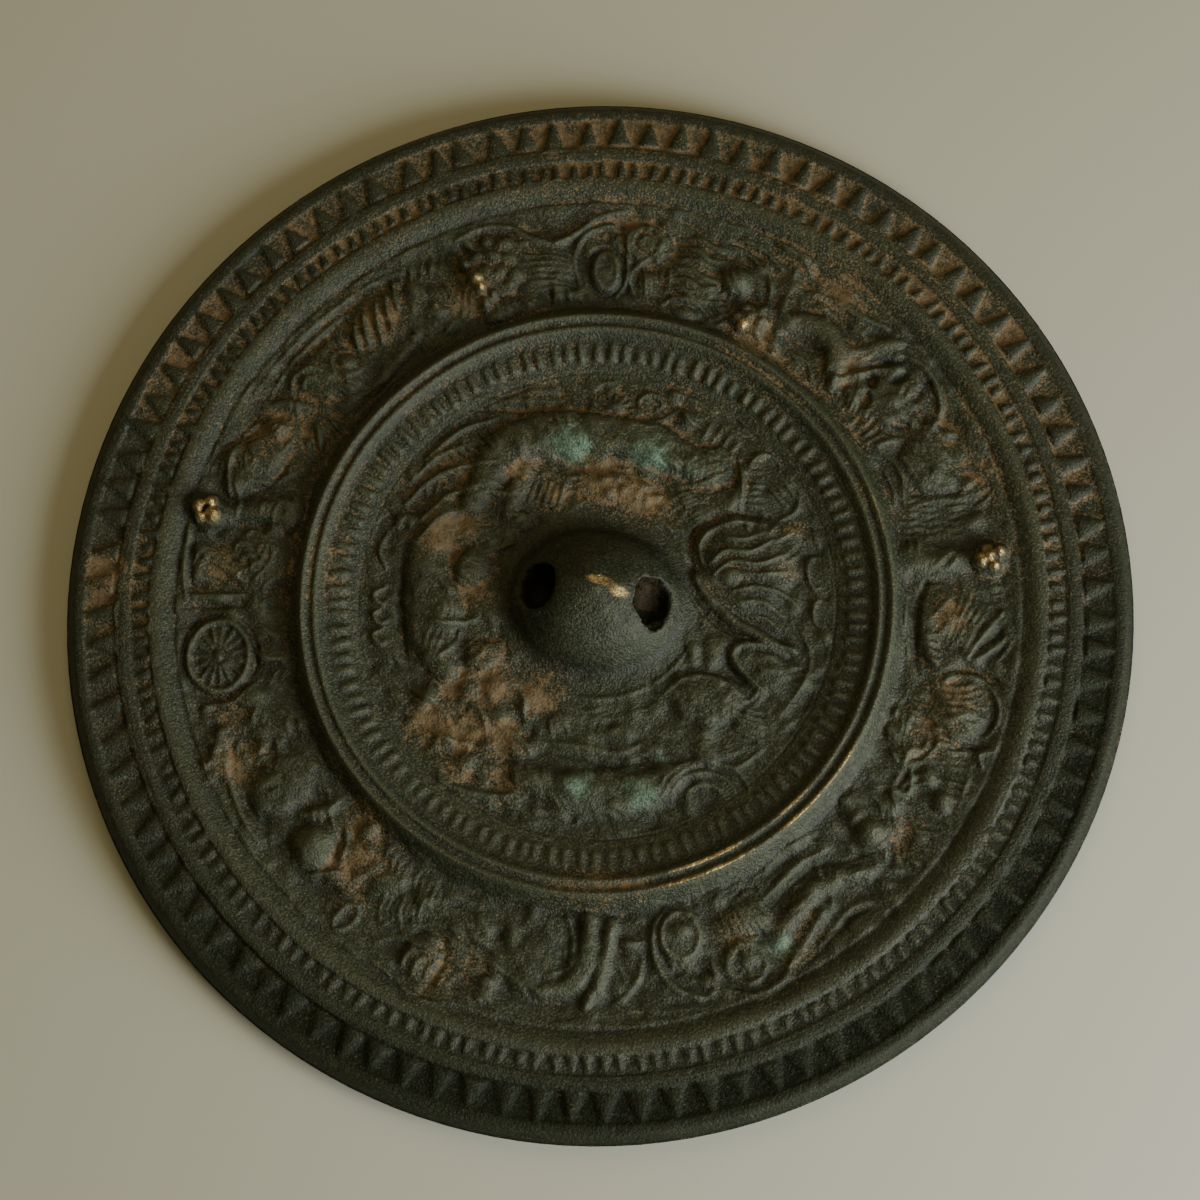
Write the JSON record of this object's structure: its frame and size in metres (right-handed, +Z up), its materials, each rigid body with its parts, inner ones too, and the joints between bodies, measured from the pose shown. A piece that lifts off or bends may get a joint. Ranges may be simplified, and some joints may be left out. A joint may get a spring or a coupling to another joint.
{
  "type": "bronze mirror",
  "caption": "Round cast bronze hand mirror, plain face down and relief back up, with a pierced central knob for a cord.",
  "frame": {"origin": "centre of the flat spot in the middle of the plain face, which lies on the table", "axes": "+Z up through the middle of the knob, out of the decorated back; +X along the cord hole through the knob"},
  "size_m": [0.2, 0.2, 0.016],
  "materials": {
    "bronze": "cast tin bronze with a dark green-black patina, tan corrosion in the recesses and brassy wear on high points"
  },
  "bodies": {
    "root": {"mirror": "bronze"}
  },
  "joints": []
}
